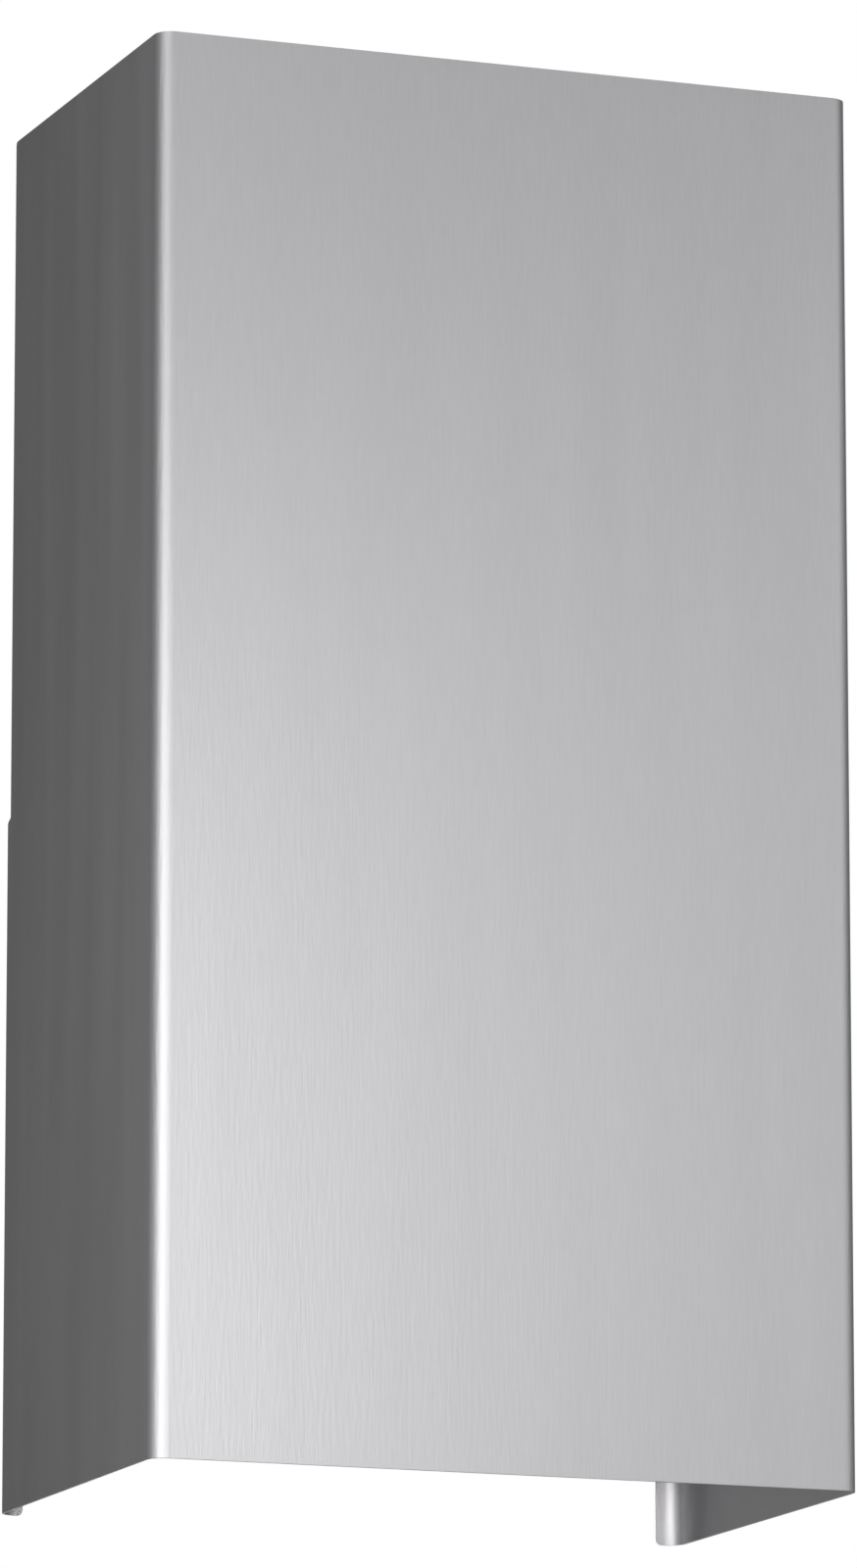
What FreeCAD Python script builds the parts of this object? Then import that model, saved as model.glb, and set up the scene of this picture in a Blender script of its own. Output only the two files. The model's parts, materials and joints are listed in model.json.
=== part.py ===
"""Chimney section of a cooker hood: one folded sheet of stainless steel.

The sheet is cut flat and folded four times into a box section that is open at
the top, the bottom and the rear. Its two rear edges turn inwards as narrow
return flanges, which lie against the wall. The flanges reach from the lower end
to part of the height. Above them the rear edges of the sides are cut back, in
front of the bends, so that the upper stretch stands clear of the wall.

Frame: +Z up, the front panel towards -Y, the wall towards +Y, and the origin at
the middle of the lower end's rectangle. Sizes are in millimetres.
"""
import FreeCAD, Part
import math
import os

# Driving dimensions

# Outer sizes of the section.
WIDTH = 260.0
DEPTH = 168.0
HEIGHT = 500.0

# Sheet thickness, and the inside radii left by the press at the front and rear bends.
SHEET = 0.8
FRONT_BEND_INSIDE = 5.5
REAR_BEND_INSIDE = 5.5

# Return flanges: the flat strip beyond the bend, the height at which they end on the side
# panel, and the radius of the two corners at the tip.
FLANGE_FLAT = 2.9
FLANGE_HEIGHT = 250.0
FLANGE_TIP_RADIUS = 2.2

# Above the flanges: how far in front of the bend the sides are cut off, how far the flange's
# upper end falls on its way round the bend, and the radius of the side panel's top corner.
CUT_BEFORE_BEND = 2.0
FLANGE_END_FALL = 4.0
TOP_CORNER_RADIUS = 1.5

# Cutting shapes run past the sheet by this much.
OVERCUT = 5.0

# Values worked out from the driving dimensions

FRONT_Y = -DEPTH / 2
WALL_Y = DEPTH / 2
SIDE_X = WIDTH / 2
FRONT_BEND_OUTSIDE = FRONT_BEND_INSIDE + SHEET
REAR_BEND_OUTSIDE = REAR_BEND_INSIDE + SHEET
FLANGE_TIP_X = SIDE_X - REAR_BEND_OUTSIDE - FLANGE_FLAT
UPPER_REAR_Y = WALL_Y - REAR_BEND_OUTSIDE - CUT_BEFORE_BEND

# The middle of a quarter bend stands off the square corner by this share of its radius, each way.
CORNER_SHARE = 1.0 - math.sqrt(0.5)

# Two places closer than this are the same place.
SAME = 1e-4


def vector(x, y, z=0.0):
    return FreeCAD.Vector(x, y, z)


def line(start, end):
    return Part.LineSegment(start, end).toShape()


def half_line(depth):
    """Right half of the folded line, from the middle of the front to the flange tip.

    depth is how far the line lies inside the sheet: 0 on its outer face, SHEET on its inner one.
    """
    front_y = FRONT_Y + depth
    wall_y = WALL_Y - depth
    side_x = SIDE_X - depth
    front_radius = FRONT_BEND_OUTSIDE - depth
    rear_radius = REAR_BEND_OUTSIDE - depth
    front_share = CORNER_SHARE * front_radius
    rear_share = CORNER_SHARE * rear_radius

    front_bend = [
        vector(side_x - front_radius, front_y),
        vector(side_x - front_share, front_y + front_share),
        vector(side_x, front_y + front_radius),
    ]
    rear_bend = [
        vector(side_x, wall_y - rear_radius),
        vector(side_x - rear_share, wall_y - rear_share),
        vector(side_x - rear_radius, wall_y),
    ]
    return [
        line(vector(0.0, front_y), front_bend[0]),
        Part.Arc(*front_bend).toShape(),
        line(front_bend[-1], rear_bend[0]),
        Part.Arc(*rear_bend).toShape(),
        line(rear_bend[-1], vector(FLANGE_TIP_X, wall_y)),
    ]


def mirrored(shape):
    """The same shape on the left of the section."""
    return shape.mirror(vector(0.0, 0.0), vector(1.0, 0.0))


def folded_sheet():
    """The sheet with its four bends, and with flanges over the whole height."""
    tip = line(vector(FLANGE_TIP_X, WALL_Y), vector(FLANGE_TIP_X, WALL_Y - SHEET))
    half = half_line(0.0) + half_line(SHEET) + [tip]
    ring = Part.sortEdges(half + [mirrored(edge) for edge in half])[0]
    section = Part.Face(Part.Wire(ring))
    return section.extrude(vector(0.0, 0.0, HEIGHT)).removeSplitter()


def rear_waste():
    """What is cut away above the flanges, as a prism across both sides.

    Its lower face falls from the side panel round the bend, and is level across the flange itself.
    """
    left_x = -SIDE_X - OVERCUT
    far_y = WALL_Y + OVERCUT
    top_z = HEIGHT + OVERCUT
    flange_end_z = FLANGE_HEIGHT - FLANGE_END_FALL
    outline = [
        vector(left_x, UPPER_REAR_Y, top_z),
        vector(left_x, UPPER_REAR_Y, FLANGE_HEIGHT),
        vector(left_x, WALL_Y - SHEET, flange_end_z),
        vector(left_x, far_y, flange_end_z),
        vector(left_x, far_y, top_z),
    ]
    face = Part.Face(Part.makePolygon(outline + outline[:1]))
    return face.extrude(vector(WIDTH + 2 * OVERCUT, 0.0, 0.0))


def across_flange_tip(edge):
    """True for the short edges across the sheet, at the two ends of a flange tip."""
    at_tip = all(abs(abs(end.X) - FLANGE_TIP_X) < SAME for end in edge.Vertexes)
    return at_tip and edge.BoundBox.ZLength < SAME


def across_top_corner(edge):
    """True for the short edge across the sheet, at the top rear corner of a side."""
    return all(
        abs(end.Z - HEIGHT) < SAME and abs(end.Y - UPPER_REAR_Y) < SAME for end in edge.Vertexes
    )


def rounded(shape, is_corner, radius):
    """The shape with the edges that the test picks rounded off."""
    return shape.makeFillet(radius, [edge for edge in shape.Edges if is_corner(edge)])


def chimney_section():
    sheet = folded_sheet().cut(rear_waste())
    sheet = rounded(sheet, across_flange_tip, FLANGE_TIP_RADIUS)
    return rounded(sheet, across_top_corner, TOP_CORNER_RADIUS)


NODES = {"chimney_section": chimney_section}


def main():
    os.makedirs("parts", exist_ok=True)
    for name, make in NODES.items():
        make().exportStep(f"parts/{name}.step")


main()
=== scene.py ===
"""Chimney section of a cooker hood: one folded sheet of brushed stainless steel in a plain studio.

The sheet is made the way a press shop makes it. A flat blank gets its outline and rounded corners, is
scored along the fold lines, folded line by line, then given its thickness and its deburred edges. The flat
blank also serves as the sheet's UV map, so that the brushed grain runs unbroken round the bends.

Frame: metres, +Z up, the front panel towards -Y, the wall towards +Y, the lower edge at Z = 0.
"""

import json
import math

import bmesh
import bpy
from bpy.props import FloatProperty, FloatVectorProperty, PointerProperty
from mathutils import Matrix, Vector


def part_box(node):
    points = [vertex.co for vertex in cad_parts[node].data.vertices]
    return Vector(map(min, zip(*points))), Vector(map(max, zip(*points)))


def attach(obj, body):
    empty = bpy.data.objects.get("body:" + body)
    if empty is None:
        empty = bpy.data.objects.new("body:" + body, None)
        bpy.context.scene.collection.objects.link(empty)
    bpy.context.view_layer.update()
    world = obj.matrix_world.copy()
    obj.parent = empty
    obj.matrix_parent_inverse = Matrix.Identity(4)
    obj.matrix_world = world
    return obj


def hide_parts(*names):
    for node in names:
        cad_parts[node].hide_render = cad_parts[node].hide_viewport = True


bl_info = {
    "name": "Cooker Hood Chimney Section",
    "version": (1, 0, 0),
    "blender": (4, 5, 0),
    "location": "3D View > Sidebar > Chimney",
    "description": "Folds a chimney section from a sheet of brushed steel and sets it in a plain studio",
    "category": "Add Mesh",
}

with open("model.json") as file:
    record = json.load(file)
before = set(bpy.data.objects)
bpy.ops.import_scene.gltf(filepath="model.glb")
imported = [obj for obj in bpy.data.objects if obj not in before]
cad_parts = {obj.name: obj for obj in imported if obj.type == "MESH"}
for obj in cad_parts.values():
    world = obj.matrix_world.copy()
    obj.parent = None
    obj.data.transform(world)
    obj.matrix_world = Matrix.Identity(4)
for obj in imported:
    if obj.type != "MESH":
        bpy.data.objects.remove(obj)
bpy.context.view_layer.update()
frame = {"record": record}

NODE = "chimney_section"
BODY = "root"
STEEL_SLOT = "brushed_steel"
LOW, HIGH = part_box(NODE)
SIZE = HIGH - LOW
STEEL_COLOUR = next(m["base_color"] for m in frame["record"]["materials"] if m["slot"] == STEEL_SLOT)

# The UV map that holds the flat blank, in metres.
FLAT_MAP = "flat_blank"

# Two places on the blank closer than this are the same place.
SAME = 1e-7

# Facets of a quarter bend, of a rounded corner and of a deburred edge.
BEND_FACETS = 20
CORNER_FACETS = 8
EDGE_FACETS = 2

QUARTER_TURN = math.radians(90)

# Only edges sharper than this are deburred, so the facets of a bend are left alone.
SHARP_EDGE = math.radians(50)

# Broad bands in the grain, in widths and lengths of a single brush mark.
BROAD_WIDTHS = 14
BROAD_LENGTHS = 16

# Finer noise on top of the brush marks and of the broad bands, and how strong it is.
MARK_DETAIL = 2.0
BAND_DETAIL = 1.0
DETAIL_STRENGTH = 0.6

# The noise hardly leaves this range.
NOISE_LOW = 0.2
NOISE_HIGH = 0.8

# Where the camera stands and how it is turned: to the right of straight ahead, and up.
CAMERA_PLACE = (-1.191, -3.175, -0.427)
CAMERA_YAW = math.radians(20.583)
CAMERA_TILT = math.radians(11.407)

# The longer side of the camera's sensor, in millimetres, and how far the camera sees.
CAMERA_SENSOR = 36
CAMERA_REACH = 200

# Colour of the softboxes and the beams.
LIGHT_COLOUR = (1.0, 0.997, 1.012)

# Softboxes: name, degrees round from the front, distance, height, size and radiance. They face the aim.
LIGHT_AIM = Vector((0.0, 0.0, 0.2))
SOFTBOXES = (
    ("key", -28.9, 0.50, 0.08, (0.50, 0.63), 1.66),
    ("side_strip", -46.9, 0.51, 0.76, (0.42, 2.33), 1.20),
    ("side_square", -44.5, 1.04, 0.20, (0.49, 0.49), 1.63),
    ("fill", 34.1, 2.92, 0.72, (3.50, 1.40), 1.45),
    ("back_fill", 155.0, 2.50, 0.30, (2.00, 2.50), 0.60),
    ("back_strip", 180.0, 0.70, 0.15, (0.24, 0.80), 1.00),
)

# Narrow beams that reach the flanges from in front, below the front's lower edge: name, side of the section,
# distance of the lit spot from the side's face, degrees round from the front and power.
BEAMS = (
    ("right_flat_beam", 1, 0.0075, -6.0, 2.3),
    ("right_bend_beam", 1, 0.0038, -33.0, 4.2),
    ("left_beam", -1, 0.0075, 12.0, 1.4),
)

# Height of the lit spot on the flange, and the distance and the degrees of rise from it to a beam's source.
BEAM_HEIGHT = 0.01
BEAM_DISTANCE = 0.45
BEAM_ELEVATION = -12.0

# A beam's opening angle, its width as a share of its height, its soft rim, and the radius of its source.
BEAM_ANGLE = math.radians(4.5)
BEAM_SQUEEZE = 0.45
BEAM_BLEND = 0.6
BEAM_RADIUS = 0.004

# The broad light from straight above that whitens the floor; the steel doesn't mirror it.
OVERHEAD_STRENGTH = 4.0
OVERHEAD_ANGLE = math.radians(60)

# Radiance of the dim surround above and below the horizon, as the steel mirrors it, and how far to both
# sides of the horizon one blends into the other.
SURROUND_ABOVE = 0.055
SURROUND_BELOW = 0.150
SURROUND_BLEND = 0.1

WHITE = (1, 1, 1, 1)

# The floor is a disc, so wide that its rim lies close to the horizon.
FLOOR_RADIUS = 40
FLOOR_SIDES = 64
FLOOR_ROUGHNESS = 0.9


class SheetSizes(bpy.types.PropertyGroup):
    """Sizes of the folded sheet."""

    width: FloatProperty(
        name="Width", description="Outer width of the section", default=SIZE.x, min=0.05, unit="LENGTH"
    )
    depth: FloatProperty(
        name="Depth", description="Outer depth, from the front panel to the wall", default=SIZE.y,
        min=0.05, unit="LENGTH",
    )
    height: FloatProperty(
        name="Height", description="Height of the section", default=SIZE.z, min=0.05, unit="LENGTH"
    )
    thickness: FloatProperty(
        name="Sheet", description="Thickness of the sheet", default=0.0008, min=0.0003, unit="LENGTH"
    )
    bend_inside: FloatProperty(
        name="Inside bend radius", description="Inside radius of the four bends", default=0.0055,
        min=0.0005, unit="LENGTH",
    )
    flange_flat: FloatProperty(
        name="Flange flat", description="Flat strip of a return flange beyond its bend", default=0.0029,
        min=0.001, unit="LENGTH",
    )
    flange_height: FloatProperty(
        name="Flange height", description="Height at which the flanges end on the side panels", default=0.250,
        min=0.01, unit="LENGTH",
    )
    flange_fall: FloatProperty(
        name="Flange end fall", description="How far a flange's upper end falls on its way round the bend",
        default=0.004, min=0.0, unit="LENGTH",
    )
    cut_before_bend: FloatProperty(
        name="Cut before bend", description="How far in front of the bend the sides end above the flanges",
        default=0.002, min=0.0, unit="LENGTH",
    )
    tip_radius: FloatProperty(
        name="Flange tip radius", description="Radius of the two corners of a flange tip", default=0.0022,
        min=0.0, unit="LENGTH",
    )
    top_radius: FloatProperty(
        name="Top corner radius", description="Radius of the side panels' top corners", default=0.0015,
        min=0.0, unit="LENGTH",
    )
    edge_break: FloatProperty(
        name="Edge break", description="Width of the deburring on the cut edges", default=0.00012,
        min=0.0, unit="LENGTH",
    )


class SteelFinish(bpy.types.PropertyGroup):
    """Finish of the brushed steel."""

    colour: FloatVectorProperty(
        name="Colour", description="Colour of the steel", default=STEEL_COLOUR, size=3, min=0.0, max=1.0,
        subtype="COLOR",
    )
    roughness: FloatProperty(
        name="Roughness", description="Roughness of the brushed surface", default=0.554, min=0.0, max=1.0,
        subtype="FACTOR",
    )
    anisotropy: FloatProperty(
        name="Anisotropy", description="How much wider highlights spread across the grain than along it",
        default=0.263, min=0.0, max=1.0, subtype="FACTOR",
    )
    streak_width: FloatProperty(
        name="Streak width", description="Width of a brush mark, across the grain", default=0.0012,
        min=0.0001, unit="LENGTH",
    )
    streak_length: FloatProperty(
        name="Streak length", description="Length of a brush mark, along the grain", default=0.015,
        min=0.001, unit="LENGTH",
    )
    streak_depth: FloatProperty(
        name="Streak depth", description="Depth of the brush marks", default=0.00010, min=0.0, unit="LENGTH"
    )
    streak_tone: FloatProperty(
        name="Streak tone", description="How much the brush marks lighten and darken the steel",
        default=0.025, min=0.0, max=0.5, subtype="FACTOR",
    )
    roughness_drift: FloatProperty(
        name="Roughness drift", description="How much the roughness changes from one broad band to the next",
        default=0.02, min=0.0, max=0.2, subtype="FACTOR",
    )


class StudioSettings(bpy.types.PropertyGroup):
    """Stage, light and camera."""

    lens: FloatProperty(
        name="Lens", description="Focal length of the camera", default=223.3, min=50.0, unit="CAMERA"
    )
    floor_drop: FloatProperty(
        name="Floor drop", description="Height of the section's lower edge above the floor", default=1.1,
        min=0.5, unit="LENGTH",
    )
    floor_colour: FloatVectorProperty(
        name="Floor colour", description="Colour of the floor", default=(0.86, 0.86, 0.86), size=3, min=0.0,
        max=1.0, subtype="COLOR",
    )


def blank_lines(sheet):
    """The two bends of the right half, each as a list of (place on the blank, fold angle there).

    Places are distances from the middle of the front. The facets of a bend are chords of its outer radius, so
    the first and the last line turn by half of what the lines between them do.
    """
    radius = sheet.bend_inside + sheet.thickness
    turn = QUARTER_TURN / BEND_FACETS
    chord = 2 * radius * math.sin(turn / 2)

    def bend(start):
        turns = [turn / 2] + [turn] * (BEND_FACETS - 1) + [turn / 2]
        return [(start + chord * i, angle) for i, angle in enumerate(turns)]

    front_bend = bend(sheet.width / 2 - radius)
    rear_bend = bend(front_bend[-1][0] + sheet.depth - 2 * radius)
    return front_bend, rear_bend


def blank_corners(sheet, rear_bend):
    """Corners of the flat blank's right half from the bottom up, by name, as (place, height)."""
    radius = sheet.bend_inside + sheet.thickness
    bend_start = rear_bend[0][0]
    tip = rear_bend[-1][0] + sheet.flange_flat
    flange_end = sheet.flange_height - sheet.flange_fall
    # The fall ends where the bend comes within one sheet of the wall.
    level = bend_start + radius * math.asin(1 - sheet.thickness / radius)
    cut = bend_start - sheet.cut_before_bend
    return {
        "tip_bottom": (tip, 0.0),
        "tip_top": (tip, flange_end),
        "fall_end": (level, flange_end),
        "fall_start": (cut, sheet.flange_height),
        "top": (cut, sheet.height),
    }


def round_corners(mesh, corners, radius):
    """Rounds off corners of the flat blank."""
    bmesh.ops.bevel(
        mesh, geom=corners, offset=radius, offset_type="OFFSET", affect="VERTICES", segments=CORNER_FACETS,
        profile=0.5, material=-1,
    )


def cut_blank(mesh, sheet, rear_bend):
    """The flat blank as one face, upright in the plane of the front, with its rounded corners."""
    front_y = -sheet.depth / 2
    corners = blank_corners(sheet, rear_bend)
    right = {name: mesh.verts.new((x, front_y, z)) for name, (x, z) in corners.items()}
    left = {name: mesh.verts.new((-x, front_y, z)) for name, (x, z) in reversed(corners.items())}
    mesh.faces.new([*right.values(), *left.values()])
    tips = [half[name] for half in (right, left) for name in ("tip_bottom", "tip_top")]
    round_corners(mesh, tips, sheet.tip_radius)
    round_corners(mesh, [right["top"], left["top"]], sheet.top_radius)


def score_blank(mesh, lines):
    """Divides the blank along the fold lines and keeps its flat shape as the UV map."""
    for place, _ in lines:
        for side in (1, -1):
            bmesh.ops.bisect_plane(
                mesh, geom=[*mesh.verts, *mesh.edges, *mesh.faces], dist=SAME,
                plane_co=(side * place, 0, 0), plane_no=(1, 0, 0),
            )
    flat = mesh.loops.layers.uv.new(FLAT_MAP)
    for face in mesh.faces:
        face.smooth = True
        for loop in face.loops:
            loop[flat].uv = loop.vert.co.xz


def fold_blank(mesh, sheet, lines):
    """Folds both halves of the blank towards the wall, from the flange tips inwards."""
    front_y = -sheet.depth / 2
    flat_x = {vert: vert.co.x for vert in mesh.verts}
    for side in (1, -1):
        for place, angle in reversed(lines):
            beyond = [vert for vert, x in flat_x.items() if side * x > place + SAME]
            bmesh.ops.rotate(
                mesh, verts=beyond, cent=(side * place, front_y, 0),
                matrix=Matrix.Rotation(side * angle, 3, "Z"),
            )


def thicken(piece, sheet):
    """Gives the folded sheet its thickness, inwards from the outer face, and breaks its cut edges."""
    wall = piece.modifiers.new("sheet_thickness", "SOLIDIFY")
    wall.thickness = sheet.thickness
    wall.offset = -1
    wall.use_even_offset = True

    edges = piece.modifiers.new("deburred_edges", "BEVEL")
    edges.width = sheet.edge_break
    edges.segments = EDGE_FACETS
    edges.limit_method = "ANGLE"
    edges.angle_limit = SHARP_EDGE

    normals = piece.modifiers.new("flat_panels", "WEIGHTED_NORMAL")
    normals.mode = "FACE_AREA"


def add_node(tree, kind, **settings):
    """A new node, with its settings: plain names set the node itself, a dict called inputs its sockets."""
    node = tree.nodes.new(kind)
    for name, value in settings.pop("inputs", {}).items():
        node.inputs[name].default_value = value
    for name, value in settings.items():
        setattr(node, name, value)
    return node


def streaks(tree, width, length, detail):
    """Noise on the flat blank, drawn out along the grain to streaks of this size."""
    flat = add_node(tree, "ShaderNodeUVMap", uv_map=FLAT_MAP)
    stretch = add_node(tree, "ShaderNodeMapping", inputs={"Scale": (1 / width, 1 / length, 1)})
    noise = add_node(
        tree, "ShaderNodeTexNoise", inputs={"Scale": 1.0, "Detail": detail, "Roughness": DETAIL_STRENGTH}
    )
    tree.links.new(flat.outputs["UV"], stretch.inputs["Vector"])
    tree.links.new(stretch.outputs["Vector"], noise.inputs["Vector"])
    return noise.outputs["Fac"]


def spread(tree, value, middle, reach):
    """A noise value laid out evenly about a middle value, as far as reach to both sides."""
    span = add_node(
        tree, "ShaderNodeMapRange",
        inputs={
            "From Min": NOISE_LOW, "From Max": NOISE_HIGH, "To Min": middle - reach, "To Max": middle + reach
        },
    )
    tree.links.new(value, span.inputs["Value"])
    return span.outputs["Result"]


def brushed_steel(finish):
    """Satin steel with a fine grain along the height."""
    material = bpy.data.materials.new("brushed_steel")
    material.use_nodes = True
    tree = material.node_tree
    tree.nodes.clear()
    link = tree.links.new

    fine = streaks(tree, finish.streak_width, finish.streak_length, MARK_DETAIL)
    broad = streaks(
        tree, finish.streak_width * BROAD_WIDTHS, finish.streak_length * BROAD_LENGTHS, BAND_DETAIL
    )

    relief = add_node(tree, "ShaderNodeBump", inputs={"Strength": 1.0, "Distance": finish.streak_depth})
    link(fine, relief.inputs["Height"])
    tint = add_node(
        tree, "ShaderNodeVectorMath", operation="SCALE", inputs={"Vector": tuple(finish.colour)}
    )
    link(spread(tree, fine, 1.0, finish.streak_tone), tint.inputs["Scale"])
    across = add_node(tree, "ShaderNodeTangent", direction_type="UV_MAP", uv_map=FLAT_MAP)

    steel = add_node(
        tree, "ShaderNodeBsdfPrincipled", inputs={"Metallic": 1.0, "Anisotropic": finish.anisotropy}
    )
    link(tint.outputs["Vector"], steel.inputs["Base Color"])
    link(spread(tree, broad, finish.roughness, finish.roughness_drift), steel.inputs["Roughness"])
    link(relief.outputs["Normal"], steel.inputs["Normal"])
    link(across.outputs["Tangent"], steel.inputs["Tangent"])
    surface = add_node(tree, "ShaderNodeOutputMaterial")
    link(steel.outputs["BSDF"], surface.inputs["Surface"])
    return material


class CHIMNEY_OT_fold_sheet(bpy.types.Operator):
    """Cut, fold and finish the sheet of the chimney section"""

    bl_idname = "chimney.fold_sheet"
    bl_label = "Fold Sheet"

    def execute(self, context):
        sheet = context.scene.chimney_sheet
        front_bend, rear_bend = blank_lines(sheet)
        lines = front_bend + rear_bend

        mesh = bmesh.new()
        cut_blank(mesh, sheet, rear_bend)
        score_blank(mesh, lines)
        fold_blank(mesh, sheet, lines)
        data = bpy.data.meshes.new("folded_sheet")
        mesh.to_mesh(data)
        mesh.free()

        piece = bpy.data.objects.new("folded_sheet", data)
        context.collection.objects.link(piece)
        thicken(piece, sheet)
        data.materials.append(brushed_steel(context.scene.chimney_steel))
        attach(piece, BODY)
        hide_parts(NODE)
        return {"FINISHED"}


def add_camera(context, lens):
    """The camera, in front of the section, to its left and below it, without shift or depth of field."""
    camera = bpy.data.cameras.new("camera")
    camera.lens = lens
    camera.sensor_width = CAMERA_SENSOR
    camera.clip_end = CAMERA_REACH
    holder = bpy.data.objects.new("camera", camera)
    holder.location = CAMERA_PLACE
    holder.rotation_euler = (QUARTER_TURN + CAMERA_TILT, 0, -CAMERA_YAW)
    context.collection.objects.link(holder)
    context.scene.camera = holder


def towards(azimuth, elevation=0.0):
    """The direction so many degrees round from the front and up."""
    turn = Matrix.Rotation(math.radians(azimuth), 3, "Z")
    rise = Matrix.Rotation(-math.radians(elevation), 3, "X")
    return turn @ rise @ Vector((0, -1, 0))


def add_light(context, light, place, aim):
    """Sets a light at its place, turned towards the aim and out of the camera's sight."""
    light.color = LIGHT_COLOUR
    holder = bpy.data.objects.new(light.name, light)
    holder.location = place
    holder.rotation_euler = (aim - place).to_track_quat("-Z", "Y").to_euler()
    holder.visible_camera = False
    context.collection.objects.link(holder)
    return holder


def add_softboxes(context):
    """The rectangular lights round the section."""
    for name, azimuth, distance, height, (across, up), radiance in SOFTBOXES:
        light = bpy.data.lights.new(name, "AREA")
        light.shape = "RECTANGLE"
        light.size = across
        light.size_y = up
        light.energy = radiance * math.pi * across * up
        place = towards(azimuth) * distance + Vector((0, 0, height))
        add_light(context, light, place, LIGHT_AIM)


def add_beams(context, sheet):
    """The narrow upright beams on the lower ends of the flanges."""
    for name, side, inset, azimuth, power in BEAMS:
        light = bpy.data.lights.new(name, "SPOT")
        light.energy = power
        light.spot_size = BEAM_ANGLE
        light.spot_blend = BEAM_BLEND
        light.shadow_soft_size = BEAM_RADIUS
        flange = Vector((side * (sheet.width / 2 - inset), sheet.depth / 2, BEAM_HEIGHT))
        place = flange + towards(azimuth, BEAM_ELEVATION) * BEAM_DISTANCE
        holder = add_light(context, light, place, flange)
        holder.scale = (BEAM_SQUEEZE, 1, 1)


def add_overhead(context):
    """The broad light on the floor, which the steel doesn't mirror."""
    sun = bpy.data.lights.new("overhead", "SUN")
    sun.energy = OVERHEAD_STRENGTH
    sun.angle = OVERHEAD_ANGLE
    holder = bpy.data.objects.new("overhead", sun)
    holder.visible_glossy = False
    context.collection.objects.link(holder)


def studio_world():
    """A white background to the camera, and a dim surround with a brighter lower half to everything else."""
    world = bpy.data.worlds.new("studio")
    world.use_nodes = True
    tree = world.node_tree
    tree.nodes.clear()
    link = tree.links.new
    direction = add_node(tree, "ShaderNodeTexCoord")
    split = add_node(tree, "ShaderNodeSeparateXYZ")
    rise = add_node(
        tree, "ShaderNodeMapRange",
        inputs={
            "From Min": -SURROUND_BLEND, "From Max": SURROUND_BLEND,
            "To Min": SURROUND_BELOW, "To Max": SURROUND_ABOVE,
        },
    )
    dim = add_node(tree, "ShaderNodeBackground", inputs={"Color": WHITE})
    pale = add_node(tree, "ShaderNodeBackground", inputs={"Color": WHITE, "Strength": 1.0})
    path = add_node(tree, "ShaderNodeLightPath")
    mix = add_node(tree, "ShaderNodeMixShader")
    out = add_node(tree, "ShaderNodeOutputWorld")
    link(direction.outputs["Generated"], split.inputs["Vector"])
    link(split.outputs["Z"], rise.inputs["Value"])
    link(rise.outputs["Result"], dim.inputs["Strength"])
    link(path.outputs["Is Camera Ray"], mix.inputs["Fac"])
    link(dim.outputs["Background"], mix.inputs[1])
    link(pale.outputs["Background"], mix.inputs[2])
    link(mix.outputs["Shader"], out.inputs["Surface"])
    return world


def add_floor(context, studio):
    """A plain pale floor, far below the section."""
    mesh = bmesh.new()
    bmesh.ops.create_circle(
        mesh, cap_ends=True, segments=FLOOR_SIDES, radius=FLOOR_RADIUS,
        matrix=Matrix.Translation((0, 0, -studio.floor_drop)),
    )
    data = bpy.data.meshes.new("floor")
    mesh.to_mesh(data)
    mesh.free()
    material = bpy.data.materials.new("floor")
    material.use_nodes = True
    paint = material.node_tree.nodes["Principled BSDF"]
    paint.inputs["Base Color"].default_value = (*studio.floor_colour, 1)
    paint.inputs["Roughness"].default_value = FLOOR_ROUGHNESS
    data.materials.append(material)
    floor = bpy.data.objects.new("floor", data)
    floor.visible_glossy = False
    context.collection.objects.link(floor)


class CHIMNEY_OT_set_stage(bpy.types.Operator):
    """Set up the floor, the light and the camera"""

    bl_idname = "chimney.set_stage"
    bl_label = "Set Stage"

    def execute(self, context):
        studio = context.scene.chimney_studio
        context.scene.world = studio_world()
        context.scene.view_settings.view_transform = "Standard"
        add_softboxes(context)
        add_beams(context, context.scene.chimney_sheet)
        add_overhead(context)
        add_floor(context, studio)
        add_camera(context, studio.lens)
        return {"FINISHED"}


class CHIMNEY_PT_panel(bpy.types.Panel):
    """Sidebar panel of the chimney section"""

    bl_label = "Chimney Section"
    bl_space_type = "VIEW_3D"
    bl_region_type = "UI"
    bl_category = "Chimney"

    def draw(self, context):
        for group, operator in (
            (context.scene.chimney_sheet, CHIMNEY_OT_fold_sheet),
            (context.scene.chimney_steel, None),
            (context.scene.chimney_studio, CHIMNEY_OT_set_stage),
        ):
            box = self.layout.box()
            for name in group.bl_rna.properties.keys():
                if name not in ("rna_type", "name"):
                    box.prop(group, name)
            if operator:
                box.operator(operator.bl_idname)


CLASSES = (
    SheetSizes, SteelFinish, StudioSettings, CHIMNEY_OT_fold_sheet, CHIMNEY_OT_set_stage, CHIMNEY_PT_panel
)


def register():
    for cls in CLASSES:
        bpy.utils.register_class(cls)
    bpy.types.Scene.chimney_sheet = PointerProperty(type=SheetSizes)
    bpy.types.Scene.chimney_steel = PointerProperty(type=SteelFinish)
    bpy.types.Scene.chimney_studio = PointerProperty(type=StudioSettings)


def unregister():
    del bpy.types.Scene.chimney_studio
    del bpy.types.Scene.chimney_steel
    del bpy.types.Scene.chimney_sheet
    for cls in reversed(CLASSES):
        bpy.utils.unregister_class(cls)


def main():
    register()
    bpy.ops.chimney.fold_sheet()
    bpy.ops.chimney.set_stage()


if __name__ == "__main__":
    main()
